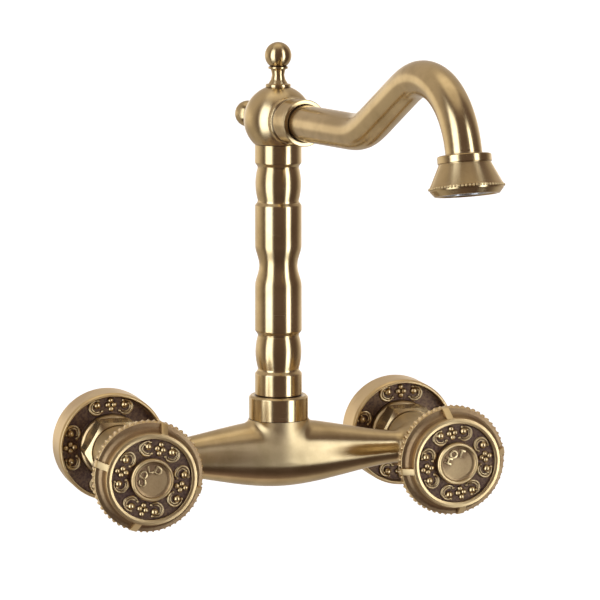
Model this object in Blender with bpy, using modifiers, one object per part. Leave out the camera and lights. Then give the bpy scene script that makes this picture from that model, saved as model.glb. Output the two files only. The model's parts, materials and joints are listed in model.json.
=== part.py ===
# Wall-mounted two-handle bathroom mixer with a swivelling swan-neck spout.
# Origin: midway between the two inlets, on the finished wall.  +X to the right,
# -Y out of the wall towards the user, +Z up.  Metres.
import bpy
import bmesh
import math
from mathutils import Matrix, Vector

MM = 0.001

# ---------------------------------------------------------------- dimensions
INLET_CENTRES = 150 * MM        # standard spacing of the two wall inlets
GAP = 0.3 * MM                  # running clearance between touching pieces
BODY_OUT = 52 * MM              # body and column axis, out from the wall
SPOUT_REST_DEG = 9.0            # spout swing at rest, towards +X

ESC_R = 27.0                    # escutcheon outer radius (mm, as below)
ESC_DEPTH = 17.4
NUT_FLATS = 29.0
NUT_BACK, NUT_FRONT = 17.0, 30.6
UNION_TAIL_R = 10.4             # G1/2 tail in the wall
UNION_HEAD_R = 12.9             # G3/4 head under the nut
BARREL_R = 13.0
BARREL_FRONT = 70.0
WHEEL_R = 26.9                  # handle rim
WHEEL_RIM_H = 94.4
WHEEL_FACE_H = 102.9
BUTTON_R = 10.2

BODY_MID_R = 16.6
ARM_R = 7.7
COLLAR_R = 14.4
COLLAR_TOP = 28.65
SEAT_Z = 17.0                   # top of the body boss under the collar
COLUMN_TOP = 150.9
BALL_Z = 162.9
BALL_R = 16.6
SPOUT_Z = 163.2
COLLAR_S = 30.8                 # spout collar face, from the column axis
PATH_S1 = 84.0                  # end of the level run of the spout
PATH_R1 = 38.0                  # lower bend
PATH_UP_DEG = 28.5              # slope of the rising limb
PATH_RISE = 40.9                # length of the rising limb
PATH_R2 = 36.95                 # crest bend
NOZZLE_TILT_DEG = 10.5          # outlet axis, off vertical
TUBE_R0, TUBE_R1 = 8.7, 7.9     # spout tube radius at collar and at nozzle

SEG = 28
SEG_IN = 16

# ---------------------------------------------------------------- scene setup
for ob in list(bpy.data.objects):
    bpy.data.objects.remove(ob, do_unlink=True)
for coll in list(bpy.data.collections):
    bpy.data.collections.remove(coll)

PARTS = bpy.data.collections.new("bathroom_mixer_faucet")
CUTTERS = bpy.data.collections.new("cutters")
bpy.context.scene.collection.children.link(PARTS)
bpy.context.scene.collection.children.link(CUTTERS)


def material(name, rgb, metallic, roughness):
    mat = bpy.data.materials.new(name)
    mat.use_nodes = True
    bsdf = mat.node_tree.nodes["Principled BSDF"]
    bsdf.inputs["Base Color"].default_value = (rgb[0], rgb[1], rgb[2], 1.0)
    bsdf.inputs["Metallic"].default_value = metallic
    bsdf.inputs["Roughness"].default_value = roughness
    mat.diffuse_color = (rgb[0], rgb[1], rgb[2], 1.0)
    return mat


ANTIQUE = material("antique_brass", (0.42, 0.29, 0.13), 1.0, 0.32)
RAW = material("raw_brass", (0.60, 0.44, 0.17), 1.0, 0.35)
STEEL = material("stainless_steel", (0.62, 0.62, 0.62), 1.0, 0.30)
RUBBER = material("black_rubber", (0.02, 0.02, 0.02), 0.0, 0.70)
CERAMIC = material("white_ceramic", (0.85, 0.85, 0.82), 0.0, 0.25)
PLASTIC = material("grey_plastic", (0.35, 0.35, 0.36), 0.0, 0.50)


# ---------------------------------------------------------------- helpers
def finish(ob, mat, coll):
    if mat is not None:
        ob.data.materials.clear()
        ob.data.materials.append(mat)
    for other in list(ob.users_collection):
        other.objects.unlink(ob)
    coll.objects.link(ob)
    return ob


def hide_cutter(ob):
    ob.hide_render = True
    ob.display_type = "WIRE"


def turned(name, profile, mat, matrix, steps=SEG, coll=None, closed=True):
    """Profile of (radius, height) in mm, outer side from top to bottom,
    turned about local Z."""
    mesh = bpy.data.meshes.new(name)
    verts = [(r * MM, 0.0, h * MM) for r, h in profile]
    edges = [(i, i + 1) for i in range(len(verts) - 1)]
    if closed:
        edges.append((len(verts) - 1, 0))
    mesh.from_pydata(verts, edges, [])
    ob = bpy.data.objects.new(name, mesh)
    PARTS.objects.link(ob)
    finish(ob, mat, coll or PARTS)
    ob.matrix_world = matrix
    screw = ob.modifiers.new("Screw", "SCREW")
    screw.axis = "Z"
    screw.angle = math.tau
    screw.steps = steps
    screw.render_steps = steps
    screw.use_merge_vertices = True
    screw.merge_threshold = 0.0001
    screw.use_smooth_shade = False
    if coll is CUTTERS:
        hide_cutter(ob)
    return ob


def baked(ob):
    """Replace an object's mesh with its evaluated one and drop its modifiers."""
    bpy.context.view_layer.update()
    deps = bpy.context.evaluated_depsgraph_get()
    mesh = bpy.data.meshes.new_from_object(ob.evaluated_get(deps))
    mesh.name = ob.name
    ob.modifiers.clear()
    ob.data = mesh
    return ob


def smooth(ob, angle=35):
    ob.data.shade_smooth()
    ob.data.set_sharp_from_angle(angle=math.radians(angle))
    return ob


def cut(ob, cutter, operation="DIFFERENCE"):
    mod = ob.modifiers.new("Boolean", "BOOLEAN")
    mod.operation = operation
    mod.object = cutter
    mod.solver = "EXACT"
    return ob


def cylinder(name, radius, h0, h1, matrix, mat=None, coll=None, verts=SEG_IN):
    """Cylinder from h0 to h1 (mm) along local Z of matrix."""
    mesh = bpy.data.meshes.new(name)
    bm = bmesh.new()
    bmesh.ops.create_cone(bm, cap_ends=True, segments=verts, radius1=radius * MM,
                          radius2=radius * MM, depth=(h1 - h0) * MM,
                          matrix=Matrix.Translation((0, 0, (h0 + h1) / 2 * MM)))
    bm.to_mesh(mesh)
    bm.free()
    ob = bpy.data.objects.new(name, mesh)
    PARTS.objects.link(ob)
    finish(ob, mat, coll or PARTS)
    ob.matrix_world = matrix
    if coll is CUTTERS:
        hide_cutter(ob)
    return ob


def box(name, size, centre, matrix, mat=None, coll=None):
    mesh = bpy.data.meshes.new(name)
    bm = bmesh.new()
    bmesh.ops.create_cube(bm, size=1.0, matrix=Matrix.Translation(
        [c * MM for c in centre]) @ Matrix.Diagonal([s * MM for s in size] + [1.0]))
    bm.to_mesh(mesh)
    bm.free()
    ob = bpy.data.objects.new(name, mesh)
    PARTS.objects.link(ob)
    finish(ob, mat, coll or PARTS)
    ob.matrix_world = matrix
    if coll is CUTTERS:
        hide_cutter(ob)
    return ob


def out_of_wall(x):
    """Frame on an inlet axis: local Z points out of the wall."""
    return Matrix.Translation((x, 0, 0)) @ Matrix.Rotation(math.pi / 2, 4, "X")


COLUMN = Matrix.Translation((0, -BODY_OUT, 0))
SWING = COLUMN @ Matrix.Rotation(math.radians(SPOUT_REST_DEG), 4, "Z")
# local Z along the spout, from the column axis outwards
SPOUT = (SWING @ Matrix.Translation((0, 0, SPOUT_Z * MM))
         @ Matrix.Rotation(math.pi / 2, 4, "X"))
REAR = (SWING @ Matrix.Translation((0, 0, SPOUT_Z * MM))
        @ Matrix.Rotation(-math.pi / 2, 4, "X"))
ALONG_X = COLUMN @ Matrix.Rotation(math.pi / 2, 4, "Y")


# ---------------------------------------------------------------- spout path
def spout_path():
    """Points (s, z) in mm of the spout centreline, and the last direction."""
    pts = [(COLLAR_S - 10.5, SPOUT_Z)]
    s, z, th = PATH_S1, SPOUT_Z, 0.0
    for k in range(1, 4):
        pts.append((COLLAR_S - 10.5 + (PATH_S1 - COLLAR_S + 10.5) * k / 4, SPOUT_Z))
    pts.append((s, z))
    n = 5
    da = math.radians(PATH_UP_DEG) / n
    for _ in range(n):
        th += da / 2
        s += PATH_R1 * da * math.cos(th)
        z += PATH_R1 * da * math.sin(th)
        th += da / 2
        pts.append((s, z))
    for k in range(3):
        s += PATH_RISE / 3 * math.cos(th)
        z += PATH_RISE / 3 * math.sin(th)
        pts.append((s, z))
    n = 12
    total = math.radians(90.0 - NOZZLE_TILT_DEG) + th
    da = total / n
    for _ in range(n):
        th -= da / 2
        s += PATH_R2 * da * math.cos(th)
        z += PATH_R2 * da * math.sin(th)
        th -= da / 2
        pts.append((s, z))
    return pts, th, (s, z)


def tube_along(name, pts, radii, mat, coll, resolution):
    curve = bpy.data.curves.new(name + "_curve", "CURVE")
    curve.dimensions = "3D"
    curve.bevel_depth = MM
    curve.bevel_resolution = resolution
    curve.use_fill_caps = True
    curve.twist_mode = "Z_UP"
    spline = curve.splines.new("POLY")
    spline.points.add(len(pts) - 1)
    for p, (s, z), r in zip(spline.points, pts, radii):
        p.co = (0.0, -s * MM, z * MM, 1.0)
        p.radius = r
    tmp = bpy.data.objects.new(name + "_curve", curve)
    PARTS.objects.link(tmp)
    tmp.matrix_world = SWING
    bpy.context.view_layer.update()
    deps = bpy.context.evaluated_depsgraph_get()
    mesh = bpy.data.meshes.new_from_object(tmp.evaluated_get(deps))
    bm = bmesh.new()
    bm.from_mesh(mesh)
    bmesh.ops.remove_doubles(bm, verts=bm.verts, dist=0.00001)
    bmesh.ops.recalc_face_normals(bm, faces=bm.faces)
    bm.to_mesh(mesh)
    bm.free()
    ob = bpy.data.objects.new(name, mesh)
    PARTS.objects.link(ob)
    finish(ob, mat, coll)
    ob.matrix_world = tmp.matrix_world.copy()
    bpy.data.objects.remove(tmp, do_unlink=True)
    if coll is CUTTERS:
        hide_cutter(ob)
    return ob


# ---------------------------------------------------------------- one valve
def valve(side, x, wheel_turn_deg):
    frame = out_of_wall(x)

    turned(side + "_wall_union", [
        (UNION_HEAD_R, 24.4), (UNION_HEAD_R, 4.0), (UNION_TAIL_R, 4.0),
        (UNION_TAIL_R, -18.0), (7.0, -18.0), (7.0, 24.4)], RAW, frame, SEG_IN)

    turned(side + "_escutcheon", [
        (26.2, ESC_DEPTH), (26.9, 15.4), (ESC_R, 0.0), (25.4, 0.0),
        (25.4, 9.0), (23.8, 10.8), (13.4, 10.8), (13.4, 16.4), (14.8, 16.4),
        (15.8, 15.5), (16.2, 12.6), (25.1, 12.6), (25.4, ESC_DEPTH)],
        ANTIQUE, frame)

    nut = cylinder(side + "_union_nut", NUT_FLATS / 2 / math.cos(math.pi / 6),
                   NUT_BACK, NUT_FRONT, frame, ANTIQUE, verts=6)
    nut.data.transform(Matrix.Rotation(math.pi / 6, 4, "Z"))
    corner = NUT_FLATS / 2 / math.cos(math.pi / 6)
    crown = turned(side + "_nut_crown", [
        (0.0, NUT_FRONT + 1), (NUT_FLATS / 2 - 1.2, NUT_FRONT + 1),
        (NUT_FLATS / 2 - 1.2, NUT_FRONT), (corner + 0.4, NUT_FRONT - 2.6),
        (corner + 0.4, NUT_BACK - 1.0), (0.0, NUT_BACK - 1.0)],
        None, frame, SEG, CUTTERS, closed=False)
    bore = turned(side + "_nut_bore", [
        (0.0, NUT_FRONT + 1), (10.5, NUT_FRONT + 1), (10.5, 28.6),
        (13.2, 28.6), (13.2, NUT_BACK - 1), (0.0, NUT_BACK - 1)],
        None, frame, SEG_IN, CUTTERS, closed=False)
    cut(nut, crown, "INTERSECT")
    cut(nut, bore)

    turned(side + "_inlet_washer", [(12.6, 26.3), (12.6, 24.7), (8.0, 24.7),
                                    (8.0, 26.3)], RUBBER, frame, SEG_IN)

    # quarter-turn ceramic headwork
    turned(side + "_seat_seal", [(8.4, 50.3), (8.4, 46.3), (6.0, 46.3),
                                 (6.0, 50.3)], RUBBER, frame, SEG_IN)
    turned(side + "_cartridge_body", [
        (6.4, 80.0), (6.4, 75.0), (11.6, 75.0), (12.4, 74.4), (12.4, 71.4),
        (9.2, 71.4), (9.2, 50.6), (7.9, 50.6), (7.9, 59.2), (3.4, 59.2),
        (3.4, 80.0)], RAW, frame, SEG_IN)
    disc = cylinder(side + "_fixed_disc", 7.5, 50.8, 53.2, frame, CERAMIC)
    port = cylinder(side + "_disc_port_a", 2.2, 50.0, 54.0,
                    frame @ Matrix.Translation((4.0 * MM, 0, 0)), None, CUTTERS, 12)
    cut(disc, port)
    disc = cylinder(side + "_moving_disc", 7.5, 53.5, 55.9, frame, CERAMIC)
    port = cylinder(side + "_disc_port_b", 2.2, 53.0, 56.5,
                    frame @ Matrix.Translation((0, 4.0 * MM, 0)), None, CUTTERS, 12)
    cut(disc, port)
    turned(side + "_spindle", [
        (0.0, 87.4), (2.0, 87.4), (2.0, 94.1), (3.0, 94.1), (3.0, 81.5),
        (2.4, 81.5), (2.4, 80.3), (3.0, 80.3), (3.0, 58.8), (7.3, 58.8),
        (7.3, 56.2), (0.0, 56.2)], RAW, frame, SEG_IN, closed=False)
    turned(side + "_circlip", [(4.9, 81.3), (4.9, 80.5), (2.7, 80.5),
                               (2.7, 81.3)], STEEL, frame, SEG_IN)
    turned(side + "_bonnet_gasket", [(12.3, 71.1), (12.3, 70.3), (9.6, 70.3),
                                     (9.6, 71.1)], RUBBER, frame, SEG_IN)
    turned(side + "_bonnet_sleeve", [
        (14.4, 83.6), (15.2, 82.6), (15.2, 80.6), (14.2, 79.2), (13.9, 72.0),
        (14.6, 71.0), (14.6, 70.3), (12.8, 70.3), (12.8, 83.6)],
        ANTIQUE, frame, SEG)

    # handle
    turn = frame @ Matrix.Rotation(math.radians(wheel_turn_deg), 4, "Z")
    wheel = turned(side + "_handle_wheel", [
        (6.2, 101.2), (19.2, 101.2), (19.5, 102.4), (20.4, WHEEL_FACE_H),
        (21.5, 102.3), (21.8, 101.0), (22.5, 97.8), (23.6, 96.0),
        (25.3, 95.7), (26.4, 95.4), (WHEEL_R, WHEEL_RIM_H), (WHEEL_R, 91.4),
        (26.2, 90.4), (23.8, 89.5), (19.0, 86.4), (17.4, 84.6), (16.0, 84.6),
        (16.6, 86.6), (21.4, 91.8), (20.4, 96.6), (19.0, 98.4), (9.0, 98.4),
        (7.6, 97.0), (7.6, 84.4), (3.3, 84.4), (3.3, 94.4), (2.3, 94.4),
        (2.3, 96.3), (6.2, 96.3)], ANTIQUE, turn, SEG)
    baked(wheel)
    for k in range(4):
        rib = box(side + "_rib_cutter_%d" % k, (3.3, 5.6, 6.0), (0, 23.3, 96.3),
                  turn @ Matrix.Rotation(k * math.pi / 2, 4, "Z"), None, CUTTERS)
        for v in rib.data.vertices:
            if v.co.z > 96.3 * MM:
                v.co.z = (101.6 if v.co.y < 23.3 * MM else 96.6) * MM
        cut(wheel, rib, "UNION")
    turned(side + "_handle_screw", [
        (0.0, 98.5), (4.2, 98.5), (4.6, 98.1), (4.6, 96.6), (1.7, 96.6),
        (1.7, 88.0), (0.0, 88.0)], STEEL, turn, SEG_IN, closed=False)
    turned(side + "_index_button", [
        (0.0, 103.5), (8.8, 103.5), (9.1, 104.4), (9.8, 104.4),
        (BUTTON_R, 103.8), (BUTTON_R, 101.5), (5.9, 101.5), (5.9, 98.9),
        (0.0, 98.9)], ANTIQUE, turn, SEG, closed=False)


valve("cold", -INLET_CENTRES / 2, -17.0)
valve("hot", INLET_CENTRES / 2, 9.0)

# ---------------------------------------------------------------- mixer body
half = [(0.0, BODY_MID_R), (10.0, 16.0), (20.0, 14.6), (32.0, 12.4),
        (44.0, 10.1), (54.0, 8.3), (60.0, ARM_R), (63.0, 8.3), (67.6, 10.3)]
outline = [(0.0, 67.6)] + [(r, x) for x, r in reversed(half)]
outline += [(r, -x) for x, r in half[1:]] + [(0.0, -67.6)]
body = turned("mixer_body", outline, ANTIQUE, ALONG_X, SEG, closed=False)

for side, x in (("cold", -INLET_CENTRES / 2), ("hot", INLET_CENTRES / 2)):
    frame = out_of_wall(x)
    barrel = turned(side + "_barrel", [
        (0.0, BARREL_FRONT), (12.4, BARREL_FRONT), (BARREL_R, 69.4),
        (BARREL_R, 32.0), (12.4, 31.2), (10.1, 31.2), (10.1, 28.3),
        (12.8, 28.3), (12.8, 26.6), (0.0, 26.6)], None, frame, SEG, CUTTERS,
        closed=False)
    cut(body, barrel, "UNION")
saddle = turned("body_saddle", [
    (0.0, SEAT_Z), (COLLAR_R, SEAT_Z), (COLLAR_R, 13.0), (15.0, 8.0), (12.0, 0.0),
    (0.0, 0.0)], None, COLUMN, SEG, CUTTERS, closed=False)
cut(body, saddle, "UNION")
for side, x in (("cold", -INLET_CENTRES / 2), ("hot", INLET_CENTRES / 2)):
    chamber = turned(side + "_chamber", [
        (0.0, 72.0), (9.5, 72.0), (9.5, 46.0), (7.0, 46.0), (7.0, 24.0),
        (0.0, 24.0)], None, out_of_wall(x), SEG_IN, CUTTERS, closed=False)
    cut(body, chamber)
gallery = cylinder("body_gallery", 4.6, -70.0, 70.0, ALONG_X, None, CUTTERS, 16)
cut(body, gallery)
socket = turned("riser_socket", [
    (0.0, 19.0), (10.7, 19.0), (10.7, 7.7), (8.3, 7.7), (8.3, -6.0),
    (0.0, -6.0)], None, COLUMN, SEG_IN, CUTTERS, closed=False)
cut(body, socket)

# ---------------------------------------------------------------- swivel riser
collar = turned("riser_collar", [
    (13.6, COLLAR_TOP), (COLLAR_R, 27.8), (COLLAR_R, SEAT_Z + 0.3), (10.4, SEAT_Z + 0.3),
    (10.4, 8.0), (8.3, 8.0), (8.3, COLLAR_TOP)], ANTIQUE, COLUMN, SEG)
back = COLUMN @ Matrix.Translation((0, 0, 22.5 * MM)) @ Matrix.Rotation(
    -math.pi / 2, 4, "X")
grub_hole = cylinder("grub_hole", 1.9, 6.0, 17.0, back, None, CUTTERS, 12)
cut(collar, grub_hole)
cylinder("riser_grub_screw", 1.6, 7.4, 13.6, back, STEEL, verts=12)

turned("riser_column", [
    (7.6, 156.6), (7.6, 150.9), (11.3, 150.9), (11.3, 141.6), (10.6, 140.6),
    (10.0, 139.8), (10.6, 136.4), (11.0, 131.5), (10.8, 127.4), (10.0, 123.7),
    (10.6, 122.6), (11.3, 121.4), (11.3, 101.8), (10.5, 98.9), (9.8, 96.1),
    (9.35, 92.0), (9.7, 88.2), (10.4, 85.5), (11.35, 82.8), (11.4, 60.2),
    (10.8, 58.8), (10.0, 57.8), (10.8, 54.0), (11.1, 50.0), (10.8, 45.4),
    (10.0, 41.5), (10.8, 40.6), (11.45, 39.4), (11.45, 28.95), (8.0, 28.95),
    (8.0, 24.6), (7.0, 24.4), (7.0, 20.6), (8.0, 20.4), (8.0, 19.7),
    (6.4, 19.7), (6.4, 17.5), (8.0, 17.5), (8.0, 14.2), (6.4, 14.2),
    (6.4, 12.0), (8.0, 12.0), (8.0, 9.0), (5.2, 9.0), (5.2, 156.6)],
    ANTIQUE, COLUMN, 28)
turned("riser_oring_upper", [(8.05, 19.4), (8.05, 17.8), (6.7, 17.8),
                             (6.7, 19.4)], RUBBER, COLUMN, SEG_IN)
turned("riser_oring_lower", [(8.05, 13.9), (8.05, 12.3), (6.7, 12.3),
                             (6.7, 13.9)], RUBBER, COLUMN, SEG_IN)

# ---------------------------------------------------------------- ball head
mesh = bpy.data.meshes.new("ball_head")
bm = bmesh.new()
bmesh.ops.create_uvsphere(bm, u_segments=28, v_segments=18, radius=BALL_R * MM,
                          matrix=Matrix.Translation((0, 0, BALL_Z * MM)))
bm.to_mesh(mesh)
bm.free()
ball = bpy.data.objects.new("ball_head", mesh)
PARTS.objects.link(ball)
finish(ball, ANTIQUE, PARTS)
ball.matrix_world = SWING
cut(ball, turned("ball_base_cut", [
    (0.0, 168.0), (5.6, 168.0), (5.6, 157.6), (7.9, 157.6), (7.9, 151.2),
    (20.0, 151.2), (20.0, 140.0), (0.0, 140.0)], None, SWING, SEG_IN, CUTTERS,
    closed=False))
cut(ball, turned("ball_front_cut", [
    (0.0, 24.0), (20.0, 24.0), (20.0, 12.4), (7.7, 12.4), (7.7, 8.3),
    (5.2, 8.3), (5.2, 1.0), (0.0, 1.0)], None, SPOUT, SEG_IN, CUTTERS, closed=False))
cut(ball, turned("ball_top_cut", [
    (0.0, 190.0), (12.0, 190.0), (12.0, 178.4), (2.8, 178.4), (2.8, 172.0),
    (0.0, 172.0)], None, SWING, SEG_IN, CUTTERS, closed=False))
cut(ball, turned("ball_rear_cut", [
    (0.0, 24.0), (12.0, 24.0), (12.0, 15.5), (2.8, 15.5), (2.8, 9.2),
    (0.0, 9.2)], None, REAR, SEG_IN, CUTTERS, closed=False))


def finial(name, matrix, seat, ball_at):
    """Ball finial along local Z: seat face height and small ball centre."""
    r = 6.5
    prof = [(0.0, ball_at + r)]
    for k in range(1, 9):
        a = math.radians(90 - k * 16.5)
        prof.append((r * math.cos(a), ball_at + r * math.sin(a)))
    neck = ball_at - 5.4
    prof += [(4.8, neck - 0.3), (4.8, neck - 1.1), (3.5, neck - 1.6),
             (3.05, neck - 3.8), (3.05, seat + 5.6), (3.4, seat + 3.8),
             (4.2, seat + 2.2), (5.0, seat + 1.4), (6.1, seat + 1.0),
             (6.1, seat), (2.5, seat), (2.5, seat - 6.0), (0.0, seat - 6.0)]
    return turned(name, prof, ANTIQUE, matrix, SEG_IN + 4, closed=False)


finial("top_finial", SWING, 178.7, 193.7)
finial("rear_finial", REAR, 15.8, 36.0)

# ---------------------------------------------------------------- spout
turned("spout_collar", [
    (10.9, COLLAR_S), (11.2, 30.2), (11.2, 28.6), (10.7, 28.0), (10.7, 17.8),
    (10.2, 17.0), (11.3, 16.0), (11.6, 14.6), (11.2, 13.0), (10.6, 12.7),
    (7.4, 12.7), (7.4, 8.6), (5.4, 8.6), (5.4, 20.0), (9.0, 20.0),
    (9.0, COLLAR_S - 0.3), (9.3, COLLAR_S)], ANTIQUE, SPOUT, SEG)

points, heading, end = spout_path()
direction = (math.cos(heading), math.sin(heading))
tail = [(end[0] + direction[0] * 4.5, end[1] + direction[1] * 4.5)]
outer = points + tail
n = len(outer) - 1
radii = [TUBE_R0 + (TUBE_R1 - TUBE_R0) * i / n for i in range(n + 1)]
tube = tube_along("spout_tube", outer, radii, ANTIQUE, PARTS, 4)
before = [(points[0][0] - 3.0, points[0][1])]
after = [(end[0] + direction[0] * 8.0, end[1] + direction[1] * 8.0)]
inner = tube_along("spout_bore", before + points + after,
                   [5.9] * (len(points) + 2), None, CUTTERS, 1)
cut(tube, inner)

# nozzle frame: local Z points down the outlet axis
NOZZLE = (SWING @ Matrix.Translation((0, -end[0] * MM, end[1] * MM))
          @ Matrix.Rotation(math.atan2(direction[0], direction[1]), 4, "X"))

turned("nozzle_bell", [
    (12.6, 17.2), (14.0, 17.2), (15.9, 14.9), (16.1, 14.0), (16.0, 13.2), (11.3, 3.8),
    (11.3, 3.4), (11.7, 3.2), (11.7, 0.3), (11.3, 0.0), (8.3, 0.0),
    (8.3, 7.6), (11.9, 7.6), (11.9, 16.4)], ANTIQUE, NOZZLE, SEG)
turned("aerator_washer", [(11.6, 9.3), (11.6, 7.9), (8.6, 7.9), (8.6, 9.3)],
       RUBBER, NOZZLE, SEG_IN)
turned("aerator_housing", [
    (11.5, 16.7), (11.6, 9.6), (9.6, 9.6), (9.6, 15.6), (8.6, 15.6),
    (8.6, 16.7)], STEEL, NOZZLE, SEG_IN)
turned("aerator_core", [(0.0, 15.3), (9.2, 15.3), (9.2, 11.0), (6.0, 9.8),
                        (0.0, 9.8)], PLASTIC, NOZZLE, SEG_IN, closed=False)

# ---------------------------------------------------------------- finish
bpy.context.view_layer.update()
for ob in list(PARTS.objects):
    if ob.type == "MESH":
        baked(ob)
        smooth(ob)
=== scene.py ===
import bpy
import bmesh
import math
import json
import numpy as np
from mathutils import Matrix, Vector


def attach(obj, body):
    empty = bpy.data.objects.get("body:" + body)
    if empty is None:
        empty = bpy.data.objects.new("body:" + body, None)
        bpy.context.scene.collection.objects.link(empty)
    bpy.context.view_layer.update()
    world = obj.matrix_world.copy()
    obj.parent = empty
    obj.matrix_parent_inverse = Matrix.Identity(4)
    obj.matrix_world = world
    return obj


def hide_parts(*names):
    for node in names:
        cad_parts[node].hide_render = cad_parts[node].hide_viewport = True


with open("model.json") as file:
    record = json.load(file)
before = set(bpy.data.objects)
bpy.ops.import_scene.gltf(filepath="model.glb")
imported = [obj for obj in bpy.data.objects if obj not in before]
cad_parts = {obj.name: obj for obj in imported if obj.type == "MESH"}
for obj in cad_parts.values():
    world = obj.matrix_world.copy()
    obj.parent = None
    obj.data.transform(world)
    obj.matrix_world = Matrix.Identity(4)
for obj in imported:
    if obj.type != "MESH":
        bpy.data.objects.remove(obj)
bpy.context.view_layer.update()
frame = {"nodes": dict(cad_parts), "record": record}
MM = 0.001
scene = bpy.context.scene

# --------------------------------------------------------------- dimensions
BODY_OUT = 0.052
REST = 9.0
SPOUT_Z = 163.2
BALL_Z = 162.9
X = {"cold": -0.075, "hot": 0.075}
TURN = {"cold": -17.0, "hot": 9.0}
COLUMN = Matrix.Translation((0, -BODY_OUT, 0))
SWING = COLUMN @ Matrix.Rotation(math.radians(REST), 4, "Z")
SPOUT = SWING @ Matrix.Translation((0, 0, SPOUT_Z * MM)) @ Matrix.Rotation(math.pi / 2, 4, "X")
REAR = SWING @ Matrix.Translation((0, 0, SPOUT_Z * MM)) @ Matrix.Rotation(-math.pi / 2, 4, "X")


def out_of_wall(x):
    return Matrix.Translation((x, 0, 0)) @ Matrix.Rotation(math.pi / 2, 4, "X")


# --------------------------------------------------------------- materials
def node(nt, kind, **vals):
    n = nt.nodes.new(kind)
    for k, v in vals.items():
        if k.startswith("i_"):
            key = k[2:]
            key = int(key) if key.isdigit() else key.replace("_", " ")
            n.inputs[key].default_value = v
        else:
            setattr(n, k, v)
    return n


def maprange(nt, src, a, b, c, d, smooth=False):
    n = nt.nodes.new("ShaderNodeMapRange")
    if smooth:
        n.interpolation_type = "SMOOTHSTEP"
    nt.links.new(src, n.inputs["Value"])
    for k, v in (("From Min", a), ("From Max", b), ("To Min", c), ("To Max", d)):
        n.inputs[k].default_value = v
    return n.outputs["Result"]


def math_node(nt, op, a, b=None):
    n = nt.nodes.new("ShaderNodeMath")
    n.operation = op
    for i, v in enumerate((a, b)):
        if v is None:
            continue
        if isinstance(v, (int, float)):
            n.inputs[i].default_value = v
        else:
            nt.links.new(v, n.inputs[i])
    return n.outputs[0]


def mix_rgb(nt, fac, a, b, blend="MIX"):
    n = nt.nodes.new("ShaderNodeMix")
    n.data_type = "RGBA"
    n.blend_type = blend
    for key, v in ((0, fac), (6, a), (7, b)):
        if isinstance(v, (int, float)):
            n.inputs[key].default_value = v
        elif isinstance(v, tuple):
            n.inputs[key].default_value = (v[0], v[1], v[2], 1.0)
        else:
            nt.links.new(v, n.inputs[key])
    return n.outputs[2]


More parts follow.
